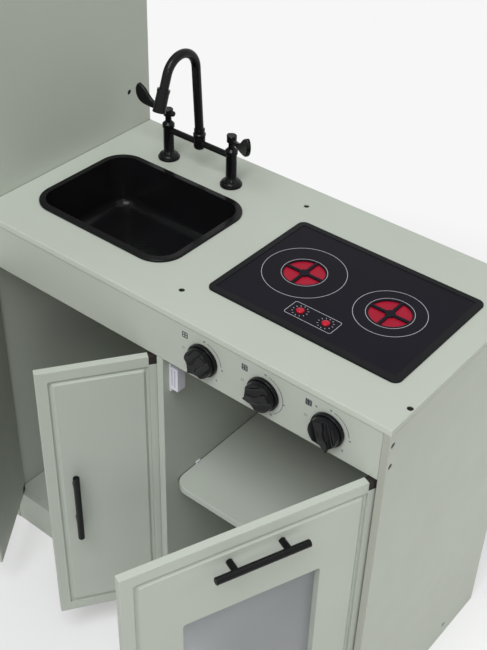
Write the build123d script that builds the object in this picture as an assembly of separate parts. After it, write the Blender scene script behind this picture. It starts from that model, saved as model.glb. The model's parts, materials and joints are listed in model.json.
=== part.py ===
from build123d import *
import os
from math import asin, cos, radians, sin

# Toy kitchen: a base unit with sink, hob and oven, and a tower at its left.
# Millimetres, +Z up, front towards -Y. The origin is on the floor under the middle of the centre divider.
# Doors are drawn in their resting places: both sink doors and the oven door stand open.

# Boards of the carcass
DEPTH = 300.0
COUNTER_HEIGHT = 530.0
TOWER_HEIGHT = 1000.0
SINK_BAY = 284.5
OVEN_BAY = 280.5
TOWER_BAY = 285.0
BOARD = 9.0
COUNTER_BOARD = 8.0
BACK_BOARD = 3.0
PLINTH_HEIGHT = 55.0
CONTROL_PANEL_HEIGHT = 63.5
FRONT_SETBACK = 1.0
REAR_PLINTH_FROM_BACK = 80.0
TOWER_MIDDLE_HEIGHT = 583.0
EDGE_EASE = 0.6
CUT_MARGIN = 1.0

# Bolts that hold the boards together
BOLT_INSET = 37.75
BOLT_HEAD_DIAMETER = 6.6
BOLT_HEAD_HEIGHT = 2.0
BOLT_RECESS = 1.0
BOLT_SHANK_DIAMETER = 4.0
BOLT_REACH = 30.0
BOLT_CLEARANCE = 0.1
CONTROL_BOLT_DROP = 14.5
CONTROL_BOLT_PITCH = 28.0
PLINTH_BOLT_HEIGHT = 22.0

# Shelves and their pegs
OVEN_SHELF_HEIGHT = 259.0
FRIDGE_SHELF_HEIGHT = 330.0
SHELF_SIDE_GAP = 0.4
SHELF_FRONT_GAP = 3.0
SHELF_REAR_GAP = 6.0
SHELF_CORNER_RADIUS = 18.0
PEG_INSET = 58.0
PEG_WIDTH = 7.0
PEG_TONGUE = 2.0
PEG_TONGUE_RISE = 2.5
PEG_LEDGE = 8.0
PEG_LEDGE_HEIGHT = 6.0
PEG_PIN_DIAMETER = 5.0
PEG_PIN_LENGTH = 6.0
PEG_CLEARANCE = 0.1

# Sink basin
SINK_WIDTH = 217.0
SINK_LENGTH = 161.7
SINK_FROM_FRONT = 51.1
SINK_OFFSET = -2.7
SINK_CORNER_RADIUS = 34.0
SINK_RIM = 8.0
SINK_RIM_HEIGHT = 3.0
SINK_RIM_ROUND = 1.4
SINK_DEPTH = 65.0
SINK_WALL = 2.0
SINK_DRAFT = 2.5
SINK_FLOOR_ROUND = 13.0
SINK_CUTOUT_GAP = 0.6
DRAIN_DIAMETER = 44.0
DRAIN_RING = 2.5
DRAIN_RING_HEIGHT = 0.8
DRAIN_RING_COUNT = 3
DRAIN_RING_PITCH = 6.5

# Hob
HOB_WIDTH = 245.5
HOB_LENGTH = 174.5
HOB_FROM_FRONT = 57.2
HOB_OFFSET = -5.3
HOB_CORNER_RADIUS = 9.0
HOB_INNER_CORNER_RADIUS = 1.0
HOB_RIM = 8.0
HOB_RIM_HEIGHT = 2.5
HOB_RIM_ROUND = 1.2
HOB_PLATE_THICKNESS = 2.0
HOB_PLATE_CLEARANCE = 0.15
HOB_TRAY_DEPTH = 22.0
HOB_TRAY_INSET = 6.0
HOB_TRAY_WALL = 2.5
HOB_LEDGE = 3.0
HOB_LEDGE_THICKNESS = 2.0
HOB_CUTOUT_GAP = 0.5
BURNER_FROM_FRONT = 148.3
BURNER_FROM_LEFT = (65.0, 177.4)
BURNER_WINDOW_RADIUS = 23.4
BURNER_SPOKE = 3.6
BURNER_HUB_RADIUS = 5.8
LENS_RADIUS = 25.5
LENS_THICKNESS = 1.5
BUTTON_FROM_FRONT = 89.3
BUTTON_FROM_LEFT = (103.4, 136.3)
BUTTON_DIAMETER = 9.0
BUTTON_DOME = 1.6
BUTTON_PROUD = 1.2
BUTTON_CLEARANCE = 0.3
BUTTON_FLANGE = 2.0
BUTTON_FLANGE_HEIGHT = 1.5
BUTTON_TRAVEL = 2.0
SWITCH_SIZE = 6.0
SWITCH_HEIGHT = 3.5
CIRCUIT_WIDTH = 120.0
CIRCUIT_LENGTH = 52.0
CIRCUIT_FROM_RIM = 15.0
CIRCUIT_THICKNESS = 1.6
CIRCUIT_POST_DIAMETER = 6.0
CIRCUIT_POST_INSET = 6.0
BATTERY_DOOR_WIDTH = 66.0
BATTERY_DOOR_LENGTH = 44.0
BATTERY_DOOR_THICKNESS = 1.5
BATTERY_DOOR_LEDGE = 3.0
BATTERY_DOOR_CLEARANCE = 0.2
BATTERY_DOOR_FROM_REAR = 45.0

# Bridge tap
TAP_FROM_FRONT = 240.6
TAP_OFFSET = -3.9
TAP_SPREAD = 102.0
PILLAR_DIAMETER = 13.4
PILLAR_HEIGHT = 51.0
PILLAR_FLANGE_DIAMETER = 27.6
PILLAR_FLANGE_HEIGHT = 2.2
PILLAR_FLANGE_STEP = 0.9
PILLAR_BEAD_DIAMETER = 16.8
PILLAR_BEAD_HEIGHT = 5.0
PILLAR_CONE_HEIGHT = 3.3
PILLAR_COLLAR_DIAMETER = 15.4
PILLAR_COLLAR_HEIGHT = 8.4
PILLAR_SHOULDER_DIAMETER = 9.6
PILLAR_SHOULDER_HEIGHT = 3.0
STUD_DIAMETER = 8.0
STUD_CLEARANCE = 0.2
NUT_ACROSS_FLATS = 13.0
NUT_HEIGHT = 6.0
STUD_BEYOND_NUT = 3.0
BRIDGE_HEIGHT = 39.6
BRIDGE_DIAMETER = 8.0
BRIDGE_SOCKET = 3.0
BRIDGE_CLEARANCE = 0.05
HUB_DIAMETER = 14.5
HUB_HEIGHT = 17.0
HUB_ROUND = 4.5
SPOUT_DIAMETER = 11.0
SPOUT_COLLAR_DIAMETER = 15.6
SPOUT_COLLAR_HEIGHT = 5.0
SPOUT_COLLAR_EDGE = 1.2
SPOUT_NECK_DIAMETER = 13.4
SPOUT_NECK_HEIGHT = 5.0
SPOUT_JOURNAL_DIAMETER = 8.0
SPOUT_JOURNAL_LENGTH = 9.0
SPOUT_LEAN = 4.0
SPOUT_RISE = 88.8
SPOUT_BEND_RADIUS = 26.0
SPOUT_DROP_LEAN = 20.0
SPOUT_DROP = 26.0
NOZZLE_DIAMETER = 14.6
NOZZLE_LIP_DIAMETER = 15.4
NOZZLE_LIP = 4.0
NOZZLE_LENGTH = 27.5
NOZZLE_OVERLAP = 10.0
NOZZLE_CLEARANCE = 0.05
NOZZLE_FACE_DIAMETER = 12.0
NOZZLE_FACE_DEPTH = 1.0
RUNNING_CLEARANCE = 0.06
LEVER_PIN_DIAMETER = 6.0
LEVER_PIN_LENGTH = 6.5
LEVER_GAP = 0.3
LEVER_WAIST_DIAMETER = 8.0
LEVER_WAIST_HEIGHT = 8.3
LEVER_HUB_DIAMETER = 12.2
LEVER_HUB_HEIGHT = 8.6
LEVER_BOSS_DIAMETER = 7.0
LEVER_BOSS_REACH = 10.0
LEVER_BOSS_ROUND = 2.0
LEVER_ARM_RISE = 3.8
LEVER_NECK_HEIGHT = 4.8
LEVER_NECK_LENGTH = 8.0
LEVER_LEAF_THICKNESS = 5.2
LEVER_LEAF_ROUND = 1.8
LEVER_LEAF_UNDER = ((34.3, -2.4), (45.5, -0.3), (52.4, 7.6))
LEVER_LEAF_TIP = (47.5, 24.3)
LEVER_LEAF_OVER = ((39.8, 20.2), (28.0, 8.9), (13.3, 3.1))
LEVER_TIP_LEAN = 64.5
LEFT_LEVER_HEADING = 180.0
RIGHT_LEVER_HEADING = -28.4

# Oven knobs
KNOB_OFFSET = -1.75
KNOB_PITCH = 80.75
KNOB_BELOW_COUNTER = 32.5
KNOB_POINTERS = {"knob_left": 216.0, "knob_middle": 241.0, "knob_right": 163.0}
KNOB_SKIRT_RADIUS = 19.5
KNOB_SKIRT_DEPTH = 4.0
KNOB_NECK_RADIUS = 16.2
KNOB_NECK_DEPTH = 1.2
KNOB_BODY_RADIUS = 17.4
KNOB_BODY_TAPER = 0.6
KNOB_BODY_DEPTH = 6.8
KNOB_GRIP_WIDTH = 9.4
KNOB_GRIP_WAIST = 5.4
KNOB_GRIP_SCOOP_RADIUS = 16.0
KNOB_GRIP_DEPTH = 1.4
KNOB_GRIP_TAIL = 15.8
KNOB_GRIP_SHOULDER = 13.5
KNOB_GRIP_POINT = 21.5
KNOB_GRIP_FALL_START = 5.0
KNOB_GRIP_FALL = 1.8
KNOB_FACE_SCOOP_RADIUS = 6.0
KNOB_FACE_SCOOP_DEPTH = 2.6
KNOB_GRIP_ROUND = 0.6
KNOB_EDGE_ROUND = 1.0
KNOB_STANDOFF = 0.4
SPINDLE_DIAMETER = 8.0
SPINDLE_REACH = 9.0
SPINDLE_FLANGE_DIAMETER = 16.0
SPINDLE_FLANGE = 2.5
SPINDLE_FIT = 0.1

# Doors, their pivots and handles
DOOR_SIDE_GAP = 1.0
DOOR_END_GAP = 2.0
OVEN_FREE_GAP = 1.4
SINK_MIDDLE_GAP = 4.0
SINK_DOOR_OPEN = 55.0
OVEN_DOOR_OPEN = 67.7
GROOVE_BORDER = 13.5
GROOVE_DEPTH = 2.5
GROOVE_WIDTH = 6.5
GROOVE_FLOOR = 3.5
GROOVE_CORNER_RADIUS = 3.0
PIVOT_BLOCK_LENGTH = 14.0
PIVOT_BLOCK_HEIGHT = 11.0
PIVOT_PIN_DIAMETER = 4.0
PIVOT_PIN_LENGTH = 7.0
PIVOT_END_CLEARANCE = 0.5
HANDLE_LENGTH = 102.0
HANDLE_DIAMETER = 8.0
HANDLE_STANDOFF = 15.5
HANDLE_POST_PITCH = 57.0
HANDLE_POST_DIAMETER = 7.2
HANDLE_END_CHAMFER = 0.6
HANDLE_END_SOCKET_DIAMETER = 2.4
HANDLE_END_SOCKET_DEPTH = 1.2
HANDLE_FROM_FREE_EDGE = 33.2
OVEN_HANDLE_FROM_TOP = 31.5
SCREW_DIAMETER = 3.0
SCREW_HEAD_DIAMETER = 6.4
SCREW_HEAD_HEIGHT = 1.8
SCREW_GRIP = 8.0
SCREW_CLEARANCE = 0.15
WINDOW_SIDE_MARGIN = 62.4
WINDOW_TOP_MARGIN = 98.8
WINDOW_CORNER_RADIUS = 3.5
PANE_THICKNESS = 2.0
PANE_OVERLAP = 9.0
CATCH_WIDTH = 12.6
CATCH_DEPTH = 12.6
CATCH_HEIGHT = 32.0
CATCH_FROM_DOOR_TOP = 13.0
CATCH_GAP = 0.3
CATCH_EAR = 4.0
CATCH_EAR_THICKNESS = 2.6
CATCH_SLOT_WIDTH = 1.6
CATCH_SLOT_DEPTH = 1.5
CATCH_SLOT_END = 4.0
STRIKE_WIDTH = 11.0
STRIKE_THICKNESS = 1.0
STRIKE_FROM_EDGE = 1.5

# Places worked out from the sizes above
FRONT = -DEPTH / 2
BACK = DEPTH / 2
DIVIDER_X = (-BOARD / 2, BOARD / 2)
OVEN_X = (DIVIDER_X[1], DIVIDER_X[1] + OVEN_BAY)
RIGHT_X = (OVEN_X[1], OVEN_X[1] + BOARD)
SINK_X = (DIVIDER_X[0] - SINK_BAY, DIVIDER_X[0])
TALL_X = (SINK_X[0] - BOARD, SINK_X[0])
TOWER_X = (TALL_X[0] - TOWER_BAY, TALL_X[0])
LEFT_X = (TOWER_X[0] - BOARD, TOWER_X[0])
PANEL_Y = (FRONT + FRONT_SETBACK, FRONT + FRONT_SETBACK + BOARD)
PANEL_MID_Y = sum(PANEL_Y) / 2
INNER_Y = (PANEL_Y[1], BACK - BACK_BOARD)
REAR_PLINTH_Y = (BACK - REAR_PLINTH_FROM_BACK - BOARD / 2, BACK - REAR_PLINTH_FROM_BACK + BOARD / 2)
COUNTER_Z = (COUNTER_HEIGHT - COUNTER_BOARD, COUNTER_HEIGHT)
CONTROL_Z = (COUNTER_Z[0] - CONTROL_PANEL_HEIGHT, COUNTER_Z[0])
FLOOR_Z = (PLINTH_HEIGHT - BOARD, PLINTH_HEIGHT)
MIDDLE_Z = (TOWER_MIDDLE_HEIGHT - BOARD / 2, TOWER_MIDDLE_HEIGHT + BOARD / 2)
TOP_Z = (TOWER_HEIGHT - BOARD, TOWER_HEIGHT)
BOLT_Y = (FRONT + BOLT_INSET, BACK - BOLT_INSET)
UP = (0, 0, 1)
DOWN = (0, 0, -1)
RIGHTWARD = (1, 0, 0)
LEFTWARD = (-1, 0, 0)
INWARD = (0, 1, 0)
OUTWARD = (0, -1, 0)
SCREW_HOLE = SCREW_DIAMETER + 2 * SCREW_CLEARANCE
BASE_CENTRE = (Align.CENTER, Align.CENTER, Align.MIN)


def middle(pair):
    return sum(pair) / 2


def block(x, y, z):
    """Box between two coordinates on each axis."""
    return Pos(middle(x), middle(y), middle(z)) * Box(x[1] - x[0], y[1] - y[0], z[1] - z[0])


def board(x, y, z):
    """Painted board with eased edges."""
    plain = block(x, y, z)
    return chamfer(plain.edges(), EDGE_EASE)


def rod(start, heading, diameter, length):
    """Cylinder that starts at a point and runs along a heading."""
    return Plane(origin=start, z_dir=heading) * Cylinder(diameter / 2, length, align=BASE_CENTRE)


def slab(outline, bottom, top):
    """Flat outline extruded between two heights."""
    return extrude(Pos(0, 0, bottom) * outline, top - bottom)


def turned(points):
    """Solid of revolution about Z from its (radius, height) corners."""
    corners = [(radius, 0, height) for radius, height in points]
    return revolve(make_face(Polyline(*corners, close=True)), Axis.Z)


def cut(body, tools):
    for tool in tools:
        body = body - tool
    return body


# Bolts


def bolt_points():
    """Bolts by joint: the outer face that each starts on, and its heading."""
    control_z = [COUNTER_Z[0] - CONTROL_BOLT_DROP - CONTROL_BOLT_PITCH * row for row in (0, 1)]
    rear_y = middle(REAR_PLINTH_Y)
    tower_z = {"bottom": middle(FLOOR_Z), "middle": TOWER_MIDDLE_HEIGHT, "top": middle(TOP_Z)}
    points = {
        "counter_divider": [((0, y, COUNTER_HEIGHT), DOWN) for y in BOLT_Y],
        "counter_right": [((middle(RIGHT_X), y, COUNTER_HEIGHT), DOWN) for y in BOLT_Y],
        "counter_tall": [((TALL_X[0], y, middle(COUNTER_Z)), RIGHTWARD) for y in BOLT_Y],
        "control_right": [((RIGHT_X[1], PANEL_MID_Y, z), LEFTWARD) for z in control_z],
        "control_tall": [((TALL_X[0], PANEL_MID_Y, z), RIGHTWARD) for z in control_z],
        "plinth_right": [((RIGHT_X[1], PANEL_MID_Y, PLINTH_BOLT_HEIGHT), LEFTWARD)],
        "plinth_tall": [((TALL_X[0], PANEL_MID_Y, PLINTH_BOLT_HEIGHT), RIGHTWARD)],
        "rear_plinth_right": [((RIGHT_X[1], rear_y, PLINTH_BOLT_HEIGHT), LEFTWARD)],
        "rear_plinth_tall": [((TALL_X[0], rear_y, PLINTH_BOLT_HEIGHT), RIGHTWARD)],
        "tower_plinth_left": [((LEFT_X[0], PANEL_MID_Y, PLINTH_BOLT_HEIGHT), RIGHTWARD)],
    }
    for level, z in tower_z.items():
        points[f"{level}_tall"] = [((TALL_X[1], y, z), LEFTWARD) for y in BOLT_Y]
        points[f"{level}_left"] = [((LEFT_X[0], y, z), RIGHTWARD) for y in BOLT_Y]
    return points


BOLTS = bolt_points()


def along(start, heading, distance):
    return tuple(a + b * distance for a, b in zip(start, heading))


def bolt(start, heading):
    head = rod(along(start, heading, BOLT_RECESS), heading, BOLT_HEAD_DIAMETER, BOLT_HEAD_HEIGHT)
    shank = rod(along(start, heading, BOLT_RECESS), heading, BOLT_SHANK_DIAMETER, BOLT_REACH - BOLT_RECESS)
    return head + shank


def bolt_holes(*joints):
    """Counterbored holes for the bolts of the named joints."""
    tools = []
    for joint in joints:
        for start, heading in BOLTS[joint]:
            shank = BOLT_SHANK_DIAMETER + 2 * BOLT_CLEARANCE
            head = BOLT_HEAD_DIAMETER + 2 * BOLT_CLEARANCE
            tools.append(rod(start, heading, shank, BOLT_REACH + BOLT_CLEARANCE))
            tools.append(rod(start, heading, head, BOLT_RECESS + BOLT_HEAD_HEIGHT))
    return tools


def carcass_bolts():
    return Compound([bolt(start, heading) for row in BOLTS.values() for start, heading in row])


# Sink, hob, tap and knob places
SINK_CENTRE = (middle(SINK_X) + SINK_OFFSET, FRONT + SINK_FROM_FRONT + SINK_LENGTH / 2)
HOB_CENTRE = (middle(OVEN_X) + HOB_OFFSET, FRONT + HOB_FROM_FRONT + HOB_LENGTH / 2)
HOB_LEFT = HOB_CENTRE[0] - HOB_WIDTH / 2
BURNERS = [(HOB_LEFT + x, FRONT + BURNER_FROM_FRONT) for x in BURNER_FROM_LEFT]
BUTTONS = [(HOB_LEFT + x, FRONT + BUTTON_FROM_FRONT) for x in BUTTON_FROM_LEFT]
TAP_CENTRE = (middle(SINK_X) + TAP_OFFSET, FRONT + TAP_FROM_FRONT)
TAP_SIDES = {"left": TAP_CENTRE[0] - TAP_SPREAD / 2, "right": TAP_CENTRE[0] + TAP_SPREAD / 2}
KNOB_Z = COUNTER_Z[0] - KNOB_BELOW_COUNTER
KNOB_X = [middle(OVEN_X) + KNOB_OFFSET + KNOB_PITCH * place for place in (-1, 0, 1)]


# Doors: where each hangs, which side its pivots are on, and how far it stands open
class Door:
    def __init__(self, side, axis_x, reach, bottom, top, opened):
        self.side = side
        self.axis = (axis_x, PANEL_MID_Y)
        self.reach = reach
        self.bottom = bottom
        self.top = top
        self.opened = opened

    def hang(self, shape):
        """Place a shape drawn with the pivot axis at the origin and the free edge towards +X."""
        if self.side == "right":
            shape = mirror(shape, about=Plane.YZ)
        turn = self.opened if self.side == "right" else -self.opened
        return Pos(*self.axis, 0) * Rot(0, 0, turn) * shape

    def pivot_holes(self):
        """Holes for the pivot pins, above and below the door."""
        diameter = PIVOT_PIN_DIAMETER + 2 * RUNNING_CLEARANCE
        length = PIVOT_PIN_LENGTH + PIVOT_END_CLEARANCE
        above = rod((*self.axis, self.top), UP, diameter, length)
        below = rod((*self.axis, self.bottom), DOWN, diameter, length)
        return [above, below]


PIVOT_INSET = DOOR_SIDE_GAP + BOARD / 2
BASE_DOOR_Z = (PLINTH_HEIGHT + DOOR_END_GAP, CONTROL_Z[0] - DOOR_END_GAP)
SINK_DOOR_REACH = (SINK_BAY - SINK_MIDDLE_GAP) / 2 - PIVOT_INSET
OVEN_DOOR_REACH = OVEN_BAY - PIVOT_INSET - OVEN_FREE_GAP
DOORS = {
    "sink_door_left": Door("left", SINK_X[0] + PIVOT_INSET, SINK_DOOR_REACH, *BASE_DOOR_Z, SINK_DOOR_OPEN),
    "sink_door_right": Door("right", SINK_X[1] - PIVOT_INSET, SINK_DOOR_REACH, *BASE_DOOR_Z, SINK_DOOR_OPEN),
    "oven_door": Door("right", OVEN_X[1] - PIVOT_INSET, OVEN_DOOR_REACH, *BASE_DOOR_Z, OVEN_DOOR_OPEN),
    "fridge_door": Door(
        "left",
        TOWER_X[0] + PIVOT_INSET,
        TOWER_BAY - PIVOT_INSET - OVEN_FREE_GAP,
        BASE_DOOR_Z[0],
        MIDDLE_Z[0] - DOOR_END_GAP,
        0.0,
    ),
}


# Carcass boards


def countertop():
    top = board((TALL_X[1], RIGHT_X[1]), (FRONT, BACK), COUNTER_Z)
    bowl_edge = SINK_RIM - SINK_WALL - SINK_CUTOUT_GAP
    stud_hole = STUD_DIAMETER + 2 * STUD_CLEARANCE
    tools = [
        slab(Pos(*SINK_CENTRE) * sink_outline(bowl_edge), *COUNTER_Z),
        slab(hob_outline(HOB_TRAY_INSET - HOB_CUTOUT_GAP), *COUNTER_Z),
    ]
    for x in TAP_SIDES.values():
        tools.append(rod((x, TAP_CENTRE[1], COUNTER_Z[0]), UP, stud_hole, COUNTER_BOARD))
    return cut(top, tools + bolt_holes("counter_divider", "counter_right", "counter_tall"))


def right_side_panel():
    panel = board(RIGHT_X, (FRONT, BACK), (0, COUNTER_Z[0]))
    joints = ("counter_right", "control_right", "plinth_right", "rear_plinth_right")
    return cut(panel, peg_holes(OVEN_X, OVEN_SHELF_HEIGHT) + bolt_holes(*joints))


def centre_divider():
    """Upright between the bays, notched for the control panel, the plinths and the back."""
    panel = board(DIVIDER_X, (FRONT, INNER_Y[1]), (0, COUNTER_Z[0]))
    through = (DIVIDER_X[0] - CUT_MARGIN, DIVIDER_X[1] + CUT_MARGIN)
    front = (FRONT - CUT_MARGIN, PANEL_Y[1])
    notches = [
        block(through, front, CONTROL_Z),
        block(through, front, (0, PLINTH_HEIGHT)),
        block(through, REAR_PLINTH_Y, (0, FLOOR_Z[0])),
    ]
    return cut(panel, notches + peg_holes(OVEN_X, OVEN_SHELF_HEIGHT) + bolt_holes("counter_divider"))


def tower_right_panel():
    panel = board(TALL_X, (FRONT, BACK), (0, TOWER_HEIGHT))
    joints = ("counter_tall", "control_tall", "plinth_tall", "rear_plinth_tall")
    tower = ("bottom_tall", "middle_tall", "top_tall")
    return cut(panel, peg_holes(TOWER_X, FRIDGE_SHELF_HEIGHT) + bolt_holes(*joints, *tower))


def tower_left_panel():
    panel = board(LEFT_X, (FRONT, BACK), (0, TOWER_HEIGHT))
    joints = ("bottom_left", "middle_left", "top_left", "tower_plinth_left")
    return cut(panel, peg_holes(TOWER_X, FRIDGE_SHELF_HEIGHT) + bolt_holes(*joints))


def tower_top_panel():
    return cut(board(TOWER_X, (FRONT, INNER_Y[1]), TOP_Z), bolt_holes("top_tall", "top_left"))


def tower_middle_panel():
    panel = board(TOWER_X, (FRONT, INNER_Y[1]), MIDDLE_Z)
    return cut(panel, DOORS["fridge_door"].pivot_holes() + bolt_holes("middle_tall", "middle_left"))


def tower_bottom_panel():
    return cut(board(TOWER_X, INNER_Y, FLOOR_Z), bolt_holes("bottom_tall", "bottom_left"))


def tower_plinth():
    panel = board(TOWER_X, PANEL_Y, (0, PLINTH_HEIGHT))
    return cut(panel, DOORS["fridge_door"].pivot_holes() + bolt_holes("tower_plinth_left"))


def base_plinth():
    panel = board((SINK_X[0], OVEN_X[1]), PANEL_Y, (0, PLINTH_HEIGHT))
    return cut(panel, base_pivot_holes() + bolt_holes("plinth_right", "plinth_tall"))


def base_rear_plinth():
    panel = board((SINK_X[0], OVEN_X[1]), REAR_PLINTH_Y, (0, FLOOR_Z[0]))
    return cut(panel, bolt_holes("rear_plinth_right", "rear_plinth_tall"))


def control_panel():
    panel = board((SINK_X[0], OVEN_X[1]), PANEL_Y, CONTROL_Z)
    hole = SPINDLE_DIAMETER + 2 * SPINDLE_FIT
    spindles = [rod((x, PANEL_Y[0], KNOB_Z), INWARD, hole, BOARD) for x in KNOB_X]
    return cut(panel, spindles + base_pivot_holes() + bolt_holes("control_right", "control_tall"))


def base_pivot_holes():
    names = ("sink_door_left", "sink_door_right", "oven_door")
    return [hole for name in names for hole in DOORS[name].pivot_holes()]


# Shelves


def peg_rows(bay):
    """Wall face and inward heading at each end of a bay, with the two peg places along it."""
    places = (FRONT + PEG_INSET, BACK - PEG_INSET)
    return [(bay[0], 1, y) for y in places] + [(bay[1], -1, y) for y in places]


def peg_holes(bay, shelf_top):
    diameter = PEG_PIN_DIAMETER + 2 * PEG_CLEARANCE
    height = shelf_top - BOARD - PEG_LEDGE_HEIGHT / 2
    length = PEG_PIN_LENGTH + PEG_CLEARANCE
    return [rod((wall, y, height), (-inward, 0, 0), diameter, length) for wall, inward, y in peg_rows(bay)]


def peg(wall, inward, y, shelf_top):
    """Clip peg: a ledge under the shelf, a tongue beside it and a pin in the wall."""
    across = (y - PEG_WIDTH / 2, y + PEG_WIDTH / 2)
    under = shelf_top - BOARD
    ledge_x = sorted((wall, wall + inward * PEG_LEDGE))
    tongue_x = sorted((wall, wall + inward * PEG_TONGUE))
    ledge = block(ledge_x, across, (under - PEG_LEDGE_HEIGHT, under))
    tongue = block(tongue_x, across, (under, shelf_top + PEG_TONGUE_RISE))
    pin = rod((wall, y, under - PEG_LEDGE_HEIGHT / 2), (-inward, 0, 0), PEG_PIN_DIAMETER, PEG_PIN_LENGTH)
    return ledge + tongue + pin


def shelf_pegs():
    bays = ((OVEN_X, OVEN_SHELF_HEIGHT), (TOWER_X, FRIDGE_SHELF_HEIGHT))
    return Compound([peg(*row, height) for bay, height in bays for row in peg_rows(bay)])


def shelf(bay, shelf_top):
    """Loose shelf with round front corners, notched for the tongues of its pegs."""
    x = (bay[0] + SHELF_SIDE_GAP, bay[1] - SHELF_SIDE_GAP)
    y = (PANEL_Y[1] + SHELF_FRONT_GAP, INNER_Y[1] - SHELF_REAR_GAP)
    plate = block(x, y, (shelf_top - BOARD, shelf_top))
    front_corners = plate.edges().filter_by(Axis.Z).group_by(Axis.Y)[0]
    plate = fillet(front_corners, SHELF_CORNER_RADIUS)
    plate = chamfer(plate.faces().sort_by(Axis.Z)[-1].edges(), EDGE_EASE)
    notches = []
    for wall, inward, place in peg_rows(bay):
        notch_x = sorted((wall, wall + inward * (PEG_TONGUE + PEG_CLEARANCE)))
        half = PEG_WIDTH / 2 + PEG_CLEARANCE
        notches.append(block(notch_x, (place - half, place + half), (shelf_top - BOARD, shelf_top)))
    return cut(plate, notches)


# Sink


def sink_outline(inset):
    radius = SINK_CORNER_RADIUS - inset
    return RectangleRounded(SINK_WIDTH - 2 * inset, SINK_LENGTH - 2 * inset, radius)


def sink_bowl(inset, depth, floor_round):
    """Drafted bowl below the rim's seat, rounded at the floor."""
    form = extrude(sink_outline(inset), amount=-depth, taper=SINK_DRAFT)
    return fillet(form.faces().sort_by(Axis.Z)[0].edges(), floor_round)


def sink_basin():
    """Moulded bowl with a rounded rim, a drafted wall and raised drain rings."""
    rim = slab(sink_outline(0), 0, SINK_RIM_HEIGHT)
    rim = fillet(rim.faces().sort_by(Axis.Z)[-1].edges(), SINK_RIM_ROUND)
    outside = sink_bowl(SINK_RIM - SINK_WALL, SINK_DEPTH + SINK_WALL, SINK_FLOOR_ROUND + SINK_WALL)
    inside = sink_bowl(SINK_RIM, SINK_DEPTH, SINK_FLOOR_ROUND)
    mouth = slab(sink_outline(SINK_RIM), 0, SINK_RIM_HEIGHT)
    basin = rim + outside - inside - mouth
    for ring in range(DRAIN_RING_COUNT):
        radius = DRAIN_DIAMETER / 2 - DRAIN_RING_PITCH * ring
        band = Circle(radius) - Circle(radius - DRAIN_RING)
        basin = basin + slab(band, -SINK_DEPTH, DRAIN_RING_HEIGHT - SINK_DEPTH)
    return Pos(*SINK_CENTRE, COUNTER_HEIGHT) * basin


# Hob
HOB_PLATE_Z = (COUNTER_HEIGHT, COUNTER_HEIGHT + HOB_PLATE_THICKNESS)
HOB_TRAY_Z = (COUNTER_HEIGHT - HOB_TRAY_DEPTH, COUNTER_HEIGHT)
BUTTON_FLANGE_Z = HOB_PLATE_Z[0] - BUTTON_CLEARANCE
SWITCH_TOP = BUTTON_FLANGE_Z - BUTTON_FLANGE_HEIGHT - BUTTON_TRAVEL - BUTTON_CLEARANCE
CIRCUIT_Z = (SWITCH_TOP - SWITCH_HEIGHT - CIRCUIT_THICKNESS, SWITCH_TOP - SWITCH_HEIGHT)
CIRCUIT_CENTRE = (
    sum(x for x, _ in BUTTONS) / 2,
    FRONT + HOB_FROM_FRONT + CIRCUIT_FROM_RIM + CIRCUIT_LENGTH / 2,
)
BATTERY_CENTRE = (HOB_CENTRE[0], HOB_CENTRE[1] + HOB_LENGTH / 2 - BATTERY_DOOR_FROM_REAR)


def hob_outline(inset):
    radius = max(HOB_CORNER_RADIUS - inset, HOB_INNER_CORNER_RADIUS)
    return Pos(*HOB_CENTRE) * RectangleRounded(HOB_WIDTH - 2 * inset, HOB_LENGTH - 2 * inset, radius)


def hob_housing():
    """Rim that rests on the countertop, with a tray below it for the electronics."""
    rim = slab(hob_outline(0), COUNTER_HEIGHT, COUNTER_HEIGHT + HOB_RIM_HEIGHT)
    rim = fillet(rim.faces().sort_by(Axis.Z)[-1].edges(), HOB_RIM_ROUND)
    tray = slab(hob_outline(HOB_TRAY_INSET), *HOB_TRAY_Z)
    seat = slab(hob_outline(HOB_RIM), COUNTER_HEIGHT, COUNTER_HEIGHT + HOB_RIM_HEIGHT)
    cavity_floor = HOB_TRAY_Z[0] + HOB_TRAY_WALL
    ledge_bottom = COUNTER_HEIGHT - HOB_LEDGE_THICKNESS
    cavity = slab(hob_outline(HOB_TRAY_INSET + HOB_TRAY_WALL), cavity_floor, ledge_bottom)
    mouth = slab(hob_outline(HOB_RIM + HOB_LEDGE), ledge_bottom, COUNTER_HEIGHT)
    housing = rim + tray - seat - cavity - mouth
    post_height = CIRCUIT_Z[0] - cavity_floor
    for x, y in circuit_corners():
        housing = housing + rod((x, y, cavity_floor), UP, CIRCUIT_POST_DIAMETER, post_height)
    hatch = Pos(*BATTERY_CENTRE) * Rectangle(
        BATTERY_DOOR_WIDTH - 2 * BATTERY_DOOR_LEDGE, BATTERY_DOOR_LENGTH - 2 * BATTERY_DOOR_LEDGE
    )
    recess = Pos(*BATTERY_CENTRE) * Rectangle(BATTERY_DOOR_WIDTH, BATTERY_DOOR_LENGTH)
    housing = housing - slab(hatch, HOB_TRAY_Z[0], cavity_floor)
    return housing - slab(recess, HOB_TRAY_Z[0], HOB_TRAY_Z[0] + BATTERY_DOOR_THICKNESS)


def circuit_corners():
    half_width = CIRCUIT_WIDTH / 2 - CIRCUIT_POST_INSET
    half_length = CIRCUIT_LENGTH / 2 - CIRCUIT_POST_INSET
    x, y = CIRCUIT_CENTRE
    return [(x + i * half_width, y + j * half_length) for i in (-1, 1) for j in (-1, 1)]


def hob_circuit_board():
    """Board on its four posts, with a push switch under each button."""
    plate = slab(Pos(*CIRCUIT_CENTRE) * Rectangle(CIRCUIT_WIDTH, CIRCUIT_LENGTH), *CIRCUIT_Z)
    for x, y in BUTTONS:
        plate = plate + slab(Pos(x, y) * Rectangle(SWITCH_SIZE, SWITCH_SIZE), CIRCUIT_Z[1], SWITCH_TOP)
    return plate


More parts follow.
